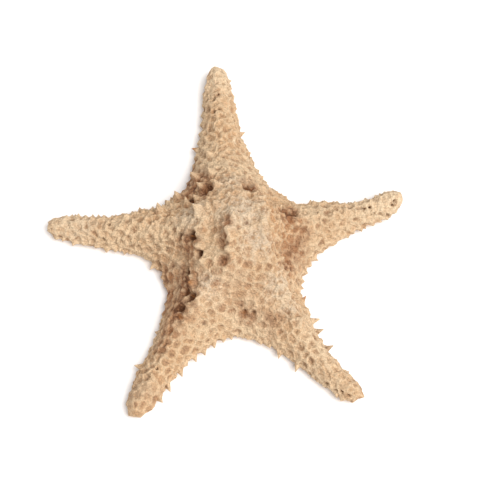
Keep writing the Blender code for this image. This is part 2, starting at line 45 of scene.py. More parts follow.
# Body
DISC_RADIUS = 39.0
DISC_HEIGHT = 50.0
MARGIN_HEIGHT = 5.5
MARGIN_DEPTH = 9.4
KEEL_POWER = 1.55
BELLY_POWER = 2.0
TIP_HALF_WIDTH = 7.0
TIP_ROUND = 9.0
ROOT_EXTRA_WIDTH = 5.2
FLARE_WIDTH = 128.0
FLARE_SHARE = 0.17
FLARE_BLEND = 6.0
BREADTH_FROM = 0.3
LIFT_FROM = 0.6
WEB_BLEND = 3.0
WEB_REACH = 60.0
DISC_CENTRE = (6.1, -10.9)
CREST_STATIONS = (0.0, 0.10, 0.20, 0.32, 0.45, 0.60, 0.75, 0.90, 1.0)
CREST_SHARES = (1.0, 0.97, 0.84, 0.63, 0.49, 0.41, 0.34, 0.28, 0.25)

Arm = namedtuple("Arm", "heading length breadth sway hook lift")
ARMS = (
    Arm(heading=17.2, length=120.5, breadth=0.90, sway=-1.0, hook=2.5, lift=8.0),
    Arm(heading=95.3, length=141.5, breadth=1.12, sway=1.5, hook=0.0, lift=4.5),
    Arm(heading=172.9, length=127.0, breadth=0.98, sway=-3.2, hook=-1.8, lift=3.0),
    Arm(heading=241.4, length=134.0, breadth=1.03, sway=-1.6, hook=-0.6, lift=2.0),
    Arm(heading=305.6, length=133.0, breadth=0.96, sway=-4.0, hook=5.3, lift=2.0),
)

Swell = namedtuple("Swell", "heading distance height radius amount")
SWELLS = (
    Swell(heading=272.0, distance=55.0, height=8.0, radius=22.0, amount=5.9),
    Swell(heading=132.0, distance=40.0, height=24.0, radius=13.0, amount=-8.5),
    Swell(heading=207.0, distance=38.0, height=22.0, radius=14.0, amount=-8.5),
    Swell(heading=219.0, distance=53.0, height=14.0, radius=11.0, amount=-4.5),
    Swell(heading=56.0, distance=40.0, height=24.0, radius=13.0, amount=-6.5),
    Swell(heading=347.0, distance=37.0, height=26.0, radius=12.0, amount=-9.0),
    Swell(heading=10.0, distance=36.0, height=28.0, radius=10.0, amount=-4.0),
    Swell(heading=325.0, distance=52.0, height=16.0, radius=10.0, amount=-4.0),
    Swell(heading=190.0, distance=13.0, height=46.0, radius=11.0, amount=-4.6),
    Swell(heading=277.0, distance=44.0, height=26.0, radius=15.0, amount=-3.4),
    Swell(heading=207.0, distance=58.0, height=8.0, radius=16.0, amount=-2.6),
    Swell(heading=60.0, distance=58.0, height=8.0, radius=13.0, amount=-6.2),
    Swell(heading=42.0, distance=60.0, height=8.0, radius=10.0, amount=0.6),
    Swell(heading=11.0, distance=80.0, height=8.0, radius=14.0, amount=-1.0),
    Swell(heading=128.0, distance=61.0, height=8.0, radius=13.0, amount=-3.2),
    Swell(heading=194.0, distance=58.0, height=8.0, radius=12.0, amount=-2.6),
    Swell(heading=222.0, distance=72.0, height=8.0, radius=14.0, amount=-1.6),
    Swell(heading=234.0, distance=112.0, height=8.0, radius=12.0, amount=1.5),
    Swell(heading=256.0, distance=73.0, height=8.0, radius=12.0, amount=1.5),
    Swell(heading=319.0, distance=68.0, height=8.0, radius=10.0, amount=1.8),
    Swell(heading=100.0, distance=135.0, height=8.0, radius=9.0, amount=-2.0),
    Swell(heading=90.5, distance=137.0, height=8.0, radius=9.0, amount=-1.3),
    Swell(heading=29.6, distance=67.0, height=10.0, radius=14.0, amount=4.4),
    Swell(heading=153.4, distance=68.0, height=10.0, radius=14.0, amount=2.4),
    Swell(heading=188.0, distance=70.0, height=8.0, radius=13.0, amount=-3.8),
    Swell(heading=176.5, distance=120.0, height=6.0, radius=8.0, amount=-1.2),
    Swell(heading=243.6, distance=127.0, height=6.0, radius=7.0, amount=-1.5),
)

# Crests of the disc, each a line of plan points: its points, half width and rise
Crest = namedtuple("Crest", "points half_width rise")
CRESTS = (
    Crest(points=((-2.0, 2.0), (-2.0, -27.0), (-18.0, -38.0), (-29.0, -54.0)), half_width=4.6, rise=4.4),
    Crest(points=((16.0, 25.0), (21.0, 10.0), (21.0, -14.0), (31.0, -34.0), (43.0, -58.0)),
          half_width=5.0, rise=5.0),
    Crest(points=((-22.0, 16.0), (-22.0, -8.0)), half_width=4.0, rise=2.4),
    Crest(points=((4.0, 26.0), (-2.0, 48.0)), half_width=5.0, rise=2.4),
)
CREST_FOOT = 12.0
CREST_FULL = 22.0

# Hollows of the upper side: x, y, radius and depth
HOLLOWS = (
    (-4.7, -1.0, 6.0, 1.6), (-6.7, -12.7, 5.4, 2.1), (-5.7, -24.0, 5.2, 1.8), (-27.2, -5.2, 4.2, 5.5),
    (-35.3, -1.3, 2.6, 3.4), (-21.8, -17.2, 3.4, 4.5), (-29.9, -23.3, 4.0, 4.5), (-27.6, -42.6, 4.4, 5.0),
    (-31.7, -38.1, 3.6, 4.0), (-34.2, -48.8, 4.0, 3.6), (-17.2, 33.0, 4.4, 4.5), (-28.0, 30.0, 4.4, 4.0),
    (9.5, 31.2, 4.4, 5.0), (22.3, 14.2, 3.0, 3.6), (38.9, 19.0, 4.0, 4.4), (33.5, 18.6, 3.2, 3.8),
    (45.5, 5.6, 3.6, 1.6), (42.2, -4.6, 4.4, 1.8), (31.3, -16.2, 3.6, 3.4), (28.8, -7.0, 3.2, 2.6),
    (34.4, -24.0, 3.6, 3.0), (38.2, -31.0, 3.2, 2.4), (7.2, -49.9, 1.5, 2.6),
    (13.1, -50.9, 1.9, 2.8), (25.8, -55.3, 2.2, 2.2),
)
# Small holes near the tips: x, y and radius
HOLES = (
    (-10.8, 116.1, 1.8), (-14.6, 111.3, 1.9), (-19.8, 117.4, 1.5), (-10.6, 103.1, 1.7), (-14.2, 101.4, 1.5),
    (-21.2, 107.5, 1.4), (-17.5, 103.7, 1.3), (-3.3, 111.2, 1.2), (-4.3, 116.6, 1.1), (-7.8, 124.3, 1.2),
    (94.6, 24.6, 1.1), (91.8, 27.5, 1.1), (88.3, 26.3, 1.0), (102.7, 25.8, 1.0), (108.7, 32.1, 1.3),
    (107.2, 29.4, 1.1), (69.9, -102.4, 1.5), (67.0, -100.8, 1.1), (60.1, -95.8, 1.4), (74.4, -104.8, 1.1),
    (-83.6, 14.4, 1.3), (-86.9, 6.2, 1.2), (-60.4, -88.0, 1.2), (-49.5, -88.5, 1.2), (-65.0, -99.0, 1.2),
)
HOLE_DEPTH = 3.8
HOLLOW_STEEPNESS = 0.6
HOLLOW_SHAKE_SIZE = 4.0
HOLLOW_SHAKE = 1.8
HOLLOW_SHAKEN_FROM = 2.2

# Dirt and old tissue left in the recesses, together with painted shade of the recesses: x, y, radius and
# strength
STAINS_AND_SHADE = (
    (-31.0, -32.0, 14.0, 1.0), (-29.0, -10.0, 11.0, 0.8), (-27.0, 42.0, 13.0, 1.0),
    (-18.0, 34.0, 10.0, 1.0), (12.0, 32.0, 9.0, 1.0), (36.0, 18.0, 9.0, 1.0),
    (40.0, -6.0, 11.0, 0.7), (34.0, -17.0, 8.0, 0.9), (-36.0, -50.0, 12.0, 1.0),
    (10.0, -52.0, 8.0, 0.6), (25.0, -57.0, 9.0, 0.5), (-7.0, -13.0, 5.0, 0.9), (-6.0, -25.0, 5.0, 0.9),
    (-48.0, -74.0, 9.0, 0.6), (-32.0, 62.0, 9.0, 0.7), (-45.0, -20.0, 12.0, 0.6), (46.0, 6.0, 7.0, 0.6),
    (-42.0, -36.0, 12.0, 0.8), (-42.0, -62.0, 10.0, 0.7), (-33.0, 48.0, 11.0, 0.9), (-5.0, -2.0, 5.0, 0.8),
    (2.0, -38.0, 22.0, 0.25), (-62.0, -105.0, 18.0, 0.25),
)
# Bleached places, the first of them a painted highlight on the raised tip of the right arm: x, y, radius
# and strength
BLEACHED_AND_LIT = (
    (104.0, 33.0, 24.0, 0.8), (60.0, -78.0, 30.0, 0.3), (2.0, 4.0, 18.0, 0.2), (12.0, -20.0, 14.0, 0.1),
    (-16.0, -42.0, 12.0, 0.4), (-8.0, 126.0, 16.0, 0.5), (-118.0, 15.0, 16.0, 0.3), (-20.0, 8.0, 9.0, 0.3),
    (32.0, -40.0, 10.0, 0.4), (0.5, 78.0, 2.0, 1.0), (-4.0, 34.0, 10.0, 0.3),
)
# Worn grey places: x, y, radius and strength
WORN = (
    (6.0, 8.0, 16.0, 1.0), (16.0, -12.0, 13.0, 0.9), (-28.0, 12.0, 12.0, 0.7), (-2.0, 36.0, 11.0, 0.7),
    (28.0, -36.0, 11.0, 0.9), (-17.0, -38.0, 9.0, 0.9), (-104.0, 16.0, 16.0, 0.4), (37.0, -50.0, 9.0, 0.7),
)
PATCH_REACH = 1.3
PATCH_EDGE_SIZE = 7.0
PATCH_RAGGEDNESS = 0.35
# Thorns stained rusty: the plan places of their feet
RUSTY_FEET = ((45.4, -36.8), (-14.8, 31.0), (-26.4, -34.4), (-24.8, 77.3))
RUSTY_REACH = 3.0

# Net of ridges, with a knob where ridges meet; the shares are given for each arm
NET_SPACING_DISC = 7.6
NET_SPACING_TIP = 5.6
NET_SHAKES = ((11.0, 2.6), (4.0, 1.3))
PIT_CLOSENESS = 0.8
PIT_LEAST_HEIGHT = 0.5
PIT_DEPTH = 0.9
PIT_DEPTH_LEAST = 0.3
PIT_DEPTH_SPREAD = 0.9
PIT_DEPTH_POWER = 1.5
PIT_RADIUS = 2.2
RIDGE_HEIGHT = 0.6
RIDGE_WIDTH = 2.2
RIDGE_PATCH = 10.0
RIDGE_SHARE = 0.7
RIDGE_SHARE_SPREAD = 1.2
RIDGE_SHARE_SPAN = (0.2, 1.2)
KNOB_HEIGHT = 1.7
KNOB_RADIUS = 3.0
KNOB_SHARPNESS = 1.3
KNOB_UNEVEN = (0.35, 1.6)
KNOB_OFF_RIDGE = 0.4
KNOB_FRONT_LOSS = 0.5
KNOB_LEAST_HEIGHT = 1.5
MEETING_GAP = 1.2
KNOB_SHARES = (0.8, 0.7, 1.2, 0.7, 0.6)
KNOB_SHARE_DISC = 0.9
PIT_SHARES = (1.4, 0.8, 0.6, 0.8, 1.1)
PIT_SHARE_DISC = 0.6
DISC_SHARE_REACH = 1.6
FACE_HEADING = 270.0
WAVE_HEIGHT = 0.8
WAVE_SIZE = 14.0
GRAIN_HEIGHT = 0.3
GRAIN_SIZE = 1.6
GRANULE_HEIGHT = 0.5
GRANULE_SIZE = 3.0
STAIN_FLATNESS = 0.6

# Where the relief fades: near the ground, and on the smooth tips
SHORE_HEIGHT = 0.6
SHORE_WIDTH = 2.0
SMOOTH_TIP = 0.12
SMOOTH_TIP_SHARE = 0.35

# Thorns
MARGIN_SPACING = 6.8
MARGIN_TOOTH = 2.0
LONG_CLEARANCE = 4.5
MARGIN_RADIUS = 3.3
MARGIN_SEARCH_FROM = 20.0
MARGIN_SEARCH_TO = 160.0
THORN_LEAST_RADIUS = 1.4
THORN_SLIMNESS = 0.22
THORN_TAPER = 1.35
PALE_THORN = 4.0
CONE_SLIMNESS = 0.4

# Long thorns of the margin: x, y, length, and the heading in which each one points
Thorn = namedtuple("Thorn", "x y length heading")
LONG_MARGIN_THORNS = (
    Thorn(54.0, -6.0, 5.0, 332.0), Thorn(58.5, 0.5, 2.2, 320.0), Thorn(45.5, -26.2, 3.4, 325.0),
    Thorn(45.4, -36.8, 5.2, 57.0), Thorn(52.7, -50.5, 7.5, 12.0), Thorn(54.9, -58.0, 7.2, 15.0),
    Thorn(60.5, -70.4, 7.0, 20.0), Thorn(72.0, -89.0, 2.2, 40.0), Thorn(17.0, -66.5, 3.4, 285.0),
    Thorn(22.5, -68.5, 3.4, 290.0), Thorn(29.4, -73.1, 7.2, 262.0), Thorn(35.0, -76.0, 2.2, 290.0),
    Thorn(40.9, -81.6, 8.0, 258.0), Thorn(50.5, -89.0, 2.8, 255.0), Thorn(67.3, -100.9, 4.0, 278.0),
    Thorn(-1.5, -61.0, 4.0, 275.0), Thorn(-6.2, -63.8, 4.6, 272.0), Thorn(-12.5, -67.0, 5.4, 282.0),
    Thorn(-19.5, -71.0, 6.0, 285.0), Thorn(-25.5, -75.5, 6.4, 288.0), Thorn(-34.5, -85.0, 7.2, 285.0),
    Thorn(-42.0, -96.0, 6.4, 288.0), Thorn(-49.0, -104.0, 5.4, 305.0), Thorn(-61.0, -82.5, 6.5, 170.0),
    Thorn(-48.5, -59.5, 3.4, 165.0), Thorn(-54.1, -10.4, 7.0, 235.0), Thorn(-70.0, 0.5, 2.2, 250.0),
    Thorn(-85.5, 2.2, 4.6, 260.0), Thorn(-107.2, 7.9, 4.6, 245.0), Thorn(-115.0, 9.5, 2.2, 250.0),
    Thorn(-123.5, 20.5, 3.2, 160.0), Thorn(-107.3, 24.3, 4.2, 105.0), Thorn(-97.0, 24.0, 2.2, 95.0),
    Thorn(-63.0, 27.0, 3.2, 100.0), Thorn(-24.8, 77.3, 6.0, 172.0), Thorn(-26.0, 69.5, 3.2, 150.0),
    Thorn(-4.6, 131.5, 3.6, 15.0), Thorn(5.0, 89.5, 4.4, 25.0), Thorn(84.6, 36.0, 2.4, 95.0),
    Thorn(91.1, 37.4, 2.4, 95.0), Thorn(99.6, 37.8, 2.4, 100.0), Thorn(104.8, 40.5, 2.0, 100.0),
    Thorn(107.9, 42.3, 2.4, 95.0), Thorn(98.5, 24.0, 3.2, 305.0), Thorn(88.0, 19.5, 2.8, 295.0),
)
MARGIN_THORN_RISE = 0.25

# Thorns of the disc: x, y and length
DISC_THORNS = (
    (-37.2, 34.4, 8.0), (-30.8, 26.9, 8.0), (-23.3, 27.0, 7.5), (-23.0, 12.1, 8.0), (-16.7, 13.0, 7.0),
    (-11.5, 14.3, 6.0), (-49.6, 21.5, 9.0), (-25.2, 49.0, 8.0), (-14.8, 47.6, 8.0), (-11.2, 34.0, 7.0),
    (-20.8, 37.5, 8.0), (6.8, 39.7, 7.5), (10.8, 35.0, 7.5), (-33.5, -16.9, 6.5), (-22.5, -12.5, 7.0),
    (-19.1, -22.5, 7.5), (-26.4, -29.9, 5.5), (-26.4, -34.4, 6.5), (-3.0, -7.0, 6.5), (-3.0, -19.5, 6.5),
    (-16.7, 65.9, 6.0), (19.4, 21.5, 4.0), (30.8, 21.0, 4.0), (28.6, 6.4, 4.5), (27.9, -5.9, 5.0),
    (29.5, -18.5, 5.5), (33.2, -26.2, 4.5), (38.1, 8.0, 4.0), (-3.0, 22.0, 4.0), (6.0, 18.0, 3.5),
    (12.0, 8.0, 3.0), (14.0, -8.0, 3.0), (-40.0, 12.0, 4.0), (-58.0, 16.0, 3.5), (-66.0, 22.0, 3.5),
)
DISC_THORN_RISE = 0.3
KEEL_THORN = 2.2
KEEL_SPACING = 9.0
KEEL_FROM = 42.0
KEEL_STOP = 12.0
KEEL_SHIFT_ALONG = 2.0
KEEL_SHIFT_ACROSS = 3.0
UNEVEN = (0.6, 1.2)

# Underside
GROOVE_HALF_WIDTH = 3.2
GROOVE_DEPTH = 4.0
GROOVE_END = 0.92
GROOVE_RUN_OUT = 0.04
PLATE_SPACING = 4.2
PLATE_SHARE = 0.25
MOUTH_RADIUS = 7.0
MOUTH_DEPTH = 7.0

# Coarse cage: a drum as shares of the disc, and the corners of an arm's section as shares of it
DRUM_FOOT = 1.3
DRUM_TOP = 0.7
DRUM_HEIGHT = 0.7
DRUM_SIDE_SLOPE = 0.8
FACES_ARM = 0.97
CAGE_STATIONS = (0.42, 0.55, 0.70, 0.85, 0.96)
CAGE_SIDE_REACH = 0.75
CAGE_SIDE_HEIGHT = 0.5
CAGE_KEEL_HEIGHT = 0.95
CAGE_TIP_WIDTH = 0.6
CAGE_TIP_HEIGHT = 0.84

# Mesh: the coarse steps of refinement, then the edge lengths above and below
EDGE_STEPS = (24.0, 16.0, 16.0, 10.0, 10.0, 7.0, 7.0, 5.0, 5.0, 3.5, 3.5, 2.4)
UPPER_EDGE = 1.22
UNDER_EDGE = 2.6
GROOVE_EDGE = 1.4
THORN_EDGE = 0.80
THORN_SURROUND = 0.3
UNDER_HEIGHT = 0.3
LEAST_GRADE = 0.05
LONGEST_STEP = 6.0
LONGEST_MARGIN_STEP = 4.0
SEARCH_STEP = 0.1
SEARCH_ABOVE = 6.0
FAR_AWAY = 999.0

# Camera and picture
PICTURE_WIDTH = 500
PICTURE_HEIGHT = 477
DISC_PIXEL = (234.0, 255.0)
MM_PER_PIXEL = 0.68
CAMERA_DISTANCE = 1200.0
CAMERA_TILT = 25.0
SENSOR_WIDTH = 36.0
FLOOR_GAP = 0.0002
FLOOR_REACH = 30.0
FLOOR_WHITE = (0.955, 0.930, 0.915, 1.0)
KEY_DIRECTION = (0.40, -0.28, 0.87)
KEY_STRENGTH = 3.10
KEY_SOFTNESS = 42.0
SURROUND_WHITE = (1.0, 1.0, 1.0, 1.0)
SURROUND_STRENGTH = 0.66


def smooth_least(first, second, blend):
    """Smaller of two values, rounded over where they cross."""
    share = np.clip(0.5 + 0.5 * (second - first) / blend, 0.0, 1.0)
    return second * (1.0 - share) + first * share - blend * share * (1.0 - share)


def polar(heading, distance):
    """Plan position at a heading in degrees and a distance from the centre."""
    return distance * math.cos(math.radians(heading)), distance * math.sin(math.radians(heading))


def half_width(part):
    """Half width of an arm at a part of its length: a slow taper that flares into the disc."""
    flare = TIP_HALF_WIDTH + ROOT_EXTRA_WIDTH * (1.0 - part) + FLARE_WIDTH * np.exp(-part / FLARE_SHARE)
    return smooth_least(flare, DISC_RADIUS, FLARE_BLEND)


def arm_coordinates(arm, x, y):
    """Distance along an arm, across it, and the part of its length."""
    heading = math.radians(arm.heading)
    along = x * math.cos(heading) + y * math.sin(heading)
    across = y * math.cos(heading) - x * math.sin(heading)
    part = np.clip(along / arm.length, 0.0, 1.0)
    across = across - arm.sway * np.sin(math.pi * part) - arm.hook * part ** 4
    return along, across, part


def arm_distance(arm, x, y, z):
    """Rough distance outside one arm, whose section is a keel above and round below."""
    along, across, part = arm_coordinates(arm, x, y)
    width = half_width(part) * (1.0 + (arm.breadth - 1.0) * np.clip(part / BREADTH_FROM, 0.0, 1.0))
    crest = DISC_HEIGHT * np.interp(part, CREST_STATIONS, CREST_SHARES)
    rise = z - MARGIN_HEIGHT - arm.lift * np.clip((part - LIFT_FROM) / (1.0 - LIFT_FROM), 0.0, 1.0) ** 2
    upright = np.where(rise > 0.0, rise / (crest - MARGIN_HEIGHT), -rise / MARGIN_DEPTH)
    keel = np.where(rise > 0.0, KEEL_POWER, BELLY_POWER)
    behind = np.maximum(-along, 0.0) / DISC_RADIUS
    flat = np.sqrt((across / width) ** 2 + behind ** 2)
    section = (flat ** keel + upright ** keel) ** (1.0 / keel)
    beyond = np.maximum(along - (arm.length - TIP_ROUND), 0.0) / TIP_ROUND
    return (np.sqrt(section ** 2 + beyond ** 2) - 1.0) * width


def line_distance(x, y, corners):
    """Plan distance from a line of points."""
    gaps = []
    for (start_x, start_y), (end_x, end_y) in zip(corners, corners[1:]):
        run_x, run_y = end_x - start_x, end_y - start_y
        share = ((x - start_x) * run_x + (y - start_y) * run_y) / (run_x ** 2 + run_y ** 2)
        share = np.clip(share, 0.0, 1.0)
        gaps.append(np.hypot(x - start_x - run_x * share, y - start_y - run_y * share))
    return np.min(gaps, axis=0)


def form(points):
    """Rough distance of points outside the body: its arms blended, swollen, dented and crested."""
    x, y, z = points.T
    gaps = [np.clip(arm_distance(arm, x, y, z), -WEB_REACH, WEB_REACH) for arm in ARMS]
    distance = -WEB_BLEND * np.log(sum(np.exp(-gap / WEB_BLEND) for gap in gaps))
    for swell in SWELLS:
        place_x, place_y = polar(swell.heading, swell.distance)
        gap = (x - place_x) ** 2 + (y - place_y) ** 2 + (z - swell.height) ** 2
        distance = distance - swell.amount * np.exp(-gap / swell.radius ** 2)
    height = np.clip((z - CREST_FOOT) / (CREST_FULL - CREST_FOOT), 0.0, 1.0)
    for crest in CRESTS:
        gap = line_distance(x, y, crest.points) / crest.half_width
        distance = distance - crest.rise * height * np.exp(-gap ** 2)
    return distance


def slope(points, step=0.3):
    """Gradient of the form at points."""
    columns = []
    for axis in np.eye(3) * step:
        columns.append((form(points + axis) - form(points - axis)) / (2.0 * step))
    return np.stack(columns, axis=1)


def lay_on_form(points, rounds=3):
    """Move points straight onto the form's surface, or onto the ground where that is nearer."""
    for _ in range(rounds):
        distance = form(points)
        grade = slope(points)
        steepness = np.maximum(np.sum(grade ** 2, axis=1), LEAST_GRADE)
        step = np.clip(distance / steepness, -LONGEST_STEP, LONGEST_STEP)
        on_ground = (distance < -points[:, 2]) & (points[:, 2] < MARGIN_HEIGHT)
        curved = points - grade * step[:, None]
        grounded = points * (1.0, 1.0, 0.0)
        points = np.where(on_ground[:, None], grounded, curved)
    points[:, 2] = np.maximum(points[:, 2], 0.0)
    return points


def vertex_array(mesh):
    """Vertex positions of a bmesh as an array."""
    return np.array([vert.co[:] for vert in mesh.verts])


def move_vertices(mesh, points):
    """Put the vertices of a bmesh at the given positions."""
    for vert, point in zip(mesh.verts, points):
        vert.co = point


def spoke_angles():
    """Even spoke angles of the drum, and where they go: every fourth one onto an arm."""
    even = [90.0 * turn * 4 / len(ARMS) for turn in range(len(ARMS) + 1)]
    wanted = [arm.heading for arm in ARMS] + [ARMS[0].heading + 360.0]
    return even, wanted


def make_cage():
    """Drum with four spokes to an arm, whose side faces are drawn out into the five arms."""
    cage = bmesh.new()
    depth = DISC_HEIGHT * DRUM_HEIGHT
    bmesh.ops.create_cone(cage, cap_ends=True, cap_tris=True, segments=4 * len(ARMS),
                          radius1=DISC_RADIUS * DRUM_FOOT, radius2=DISC_RADIUS * DRUM_TOP, depth=depth)
    bmesh.ops.translate(cage, verts=cage.verts, vec=(0.0, 0.0, depth / 2.0))
    even, wanted = spoke_angles()
    for vert in cage.verts:
        radius = math.hypot(vert.co.x, vert.co.y)
        angle = math.degrees(math.atan2(vert.co.y, vert.co.x)) % 360.0
        vert.co.x, vert.co.y = polar(float(np.interp(angle, even, wanted)), radius)
    for arm in ARMS:
        draw_out_arm(cage, arm)
    return in_fixed_order(cage)


def in_fixed_order(mesh):
    """The same mesh with its faces and edges in a fixed order, which extruding doesn't keep."""
    mesh.verts.index_update()
    loops = []
    for face in mesh.faces:
        corners = [vert.index for vert in face.verts]
        first = corners.index(min(corners))
        loops.append(corners[first:] + corners[:first])
    ordered = bmesh.new()
    verts = [ordered.verts.new(vert.co) for vert in mesh.verts]
    for corners in sorted(loops):
        ordered.faces.new([verts[index] for index in corners])
    mesh.free()
    return ordered


def section_corner(arm, station, side, upper):
    """Place of one of the six corners of an arm's section: left, middle or right, up or down."""
    width = float(half_width(station)) * arm.breadth
    crest = DISC_HEIGHT * float(np.interp(station, CREST_STATIONS, CREST_SHARES))
    lift = arm.lift * max((station - LIFT_FROM) / (1.0 - LIFT_FROM), 0.0) ** 2
    narrowing, lowering = (CAGE_TIP_WIDTH, CAGE_TIP_HEIGHT) if station == CAGE_STATIONS[-1] else (1.0, 1.0)
    share = CAGE_SIDE_HEIGHT if side else CAGE_KEEL_HEIGHT
    height = lift + crest * share * lowering if upper else lift
    middle = arm.sway * math.sin(math.pi * station) + arm.hook * station ** 4
    across = middle + side * width * CAGE_SIDE_REACH * narrowing
    along_x, along_y = polar(arm.heading, arm.length * station)
    across_x, across_y = polar(arm.heading + 90.0, across)
    return along_x + across_x, along_y + across_y, height


def draw_out_arm(cage, arm):
    """Extrude the two side faces at an arm's heading from station to station to its tip."""
    outward = Vector((*polar(arm.heading, 1.0), 0.0))
    cage.normal_update()
    faces = [face for face in cage.faces if abs(face.normal.z) < DRUM_SIDE_SLOPE
             and face.calc_center_median().xy.normalized().dot(outward.xy) > FACES_ARM]
    corners = {}
    for vert in {vert for face in faces for vert in face.verts}:
        across = vert.co.y * outward.x - vert.co.x * outward.y
        side = 0 if abs(across) < 1.0 else int(math.copysign(1, across))
        corners[vert] = (side, vert.co.z > MARGIN_HEIGHT)
    for station in CAGE_STATIONS:
        grown = bmesh.ops.extrude_face_region(cage, geom=faces)["geom"]
        bmesh.ops.delete(cage, geom=faces, context="FACES")
        faces = [item for item in grown if isinstance(item, bmesh.types.BMFace)]
        for vert in {vert for face in faces for vert in face.verts}:
            nearest = min(corners, key=lambda old: (old.co - vert.co).length)
            corners[vert] = corners[nearest]
        corners = {vert: corners[vert] for vert in {vert for face in faces for vert in face.verts}}
        for vert, (side, upper) in corners.items():
            vert.co = section_corner(arm, station, side, upper)
    for tip in bmesh.ops.poke(cage, faces=faces)["verts"]:
        tip.co += outward * arm.length * (1.0 - CAGE_STATIONS[-1])


def relax(mesh, rounds):
    """Even out the triangles and lay the vertices back on the form."""
    for _ in range(rounds):
        bmesh.ops.beautify_fill(mesh, faces=mesh.faces[:], edges=mesh.edges[:])
        bmesh.ops.smooth_vert(mesh, verts=mesh.verts[:], factor=0.5,
                              use_axis_x=True, use_axis_y=True, use_axis_z=True)
        move_vertices(mesh, lay_on_form(vertex_array(mesh)))


def split_edges(mesh, edges):
    """Halve the given edges and keep every face a triangle."""
    bmesh.ops.subdivide_edges(mesh, edges=edges, cuts=1)
    bmesh.ops.triangulate(mesh, faces=mesh.faces[:])


def groove_distance(points):
    """Distance of points from the nearest groove's middle, in plan."""
    gaps = []
    for arm in ARMS:
        along, across, part = arm_coordinates(arm, points[:, 0], points[:, 1])
        gaps.append(np.where(along > 0.0, np.abs(across), FAR_AWAY))
    return np.min(gaps, axis=0)


def fine_limit(points):
    """Longest edge allowed at points: short on the upper side, longer on the flat underside."""
    near_groove = groove_distance(points) < GROOVE_HALF_WIDTH * 1.5
    under = np.where(near_groove, GROOVE_EDGE, UNDER_EDGE)
    return np.where(points[:, 2] < UNDER_HEIGHT, under, UPPER_EDGE)


def split_to_fine_limit(mesh):
    """Halve each edge that is longer than the fine limit where it lies."""
    edges = mesh.edges[:]
    middles = np.array([((edge.verts[0].co + edge.verts[1].co) * 0.5)[:] for edge in edges])
    lengths = np.array([edge.calc_length() for edge in edges])
    too_long = np.nonzero(lengths > fine_limit(middles))[0]
    split_edges(mesh, [edges[index] for index in too_long])


def make_body():
    """Smooth body: the cage refined in steps, then to the fine limit."""
    body = make_cage()
    for longest in EDGE_STEPS:
        split_edges(body, [edge for edge in body.edges if edge.calc_length() > longest])
        relax(body, 2)
    split_to_fine_limit(body)
    relax(body, 2)
    split_to_fine_limit(body)
    relax(body, 1)
    return body


def net_spacing(points):
    """Spacing of the net's pits, which shrinks from the disc out to the tips."""
    reach = np.hypot(points[:, 0], points[:, 1]) / ARMS[1].length
    return NET_SPACING_DISC + (NET_SPACING_TIP - NET_SPACING_DISC) * np.clip(reach, 0.0, 1.0)


def tree_of(points):
    """Search tree over points."""
    tree = KDTree(len(points))
    for index, point in enumerate(points):
        tree.insert(point, index)
    tree.balance()
    return tree


def scatter_pits(points):
    """Pit centres spread evenly over the upper side: points kept apart, then evened out."""
    order = list(np.nonzero(points[:, 2] > PIT_LEAST_HEIGHT)[0])
    random.Random(SEED).shuffle(order)
    spacing = net_spacing(points) * PIT_CLOSENESS
    taken = {}
    for index in order:
        cell = tuple(int(value) for value in points[index] // NET_SPACING_DISC)
        around = [(cell[0] + i, cell[1] + j, cell[2] + k)
                  for i in (-1, 0, 1) for j in (-1, 0, 1) for k in (-1, 0, 1)]
        rivals = [rival for place in around for rival in taken.get(place, ())]
        if all(math.dist(points[index], points[rival]) > spacing[index] for rival in rivals):
            taken.setdefault(cell, []).append(index)
    pits = points[[index for group in taken.values() for index in group]]
    sample = points[order[::3]]
    for _ in range(3):
        pits = even_out(pits, sample)
    return pits


def even_out(pits, points):
    """Move each pit centre to the middle of the points nearest to it."""
    tree = tree_of(pits)
    nearest = np.array([tree.find(point)[1] for point in points])
    count = np.maximum(np.bincount(nearest, minlength=len(pits)), 1)
    sums = [np.bincount(nearest, weights=points[:, axis], minlength=len(pits)) for axis in range(3)]
    return np.stack(sums, axis=1) / count[:, None]


def warped(points, size, amount):
    """Points shaken by smooth noise of a given size, so that nothing laid on them is regular."""
    shake = np.array([noise.noise_vector(Vector(point) / size)[:] for point in points])
    return points + shake * amount


def rough(points, size):
    """Smooth noise of a given size at points, about -1 to 1."""
    return np.array([noise.noise(Vector(point) / size) for point in points])


def arm_places(points):
    """Arm that each point is nearest to, and the part of that arm's length where it lies."""
    gaps = []
    parts = []
    for arm in ARMS:
        along, across, part = arm_coordinates(arm, points[:, 0], points[:, 1])
        gaps.append(np.where(along > 0.0, np.abs(across), FAR_AWAY))
        parts.append(part)
    nearest = np.argmin(gaps, axis=0)
    return nearest, np.choose(nearest, parts)


def strength(points):
    """How strong the relief is: full over most of the star, lower on the smooth blunt tips."""
    part = arm_places(points)[1]
    shore = np.clip((points[:, 2] - SHORE_HEIGHT) / SHORE_WIDTH, 0.0, 1.0)
    return shore * np.clip((1.0 - part) / SMOOTH_TIP, SMOOTH_TIP_SHARE, 1.0)


def share_by_arm(points, arm_shares, disc_share):
    """Value given for each arm and for the disc, blended where they join."""
    nearest, _ = arm_places(points)
    share = np.array(arm_shares)[nearest]
    reach = np.hypot(points[:, 0], points[:, 1])
    return share + (disc_share - share) * np.clip(DISC_SHARE_REACH - reach / DISC_RADIUS, 0.0, 1.0)


def knobbiness(points):
    """How high the knobs stand: by arm, and lower on the front face of the disc."""
    reach = np.hypot(points[:, 0], points[:, 1])
    turn = np.arctan2(points[:, 1], points[:, 0]) - math.radians(FACE_HEADING)
    front = np.clip(np.cos(turn), 0.0, 1.0) ** 2 * np.clip(reach / DISC_RADIUS, 0.0, 1.0)
    return share_by_arm(points, KNOB_SHARES, KNOB_SHARE_DISC) * (1.0 - KNOB_FRONT_LOSS * front)


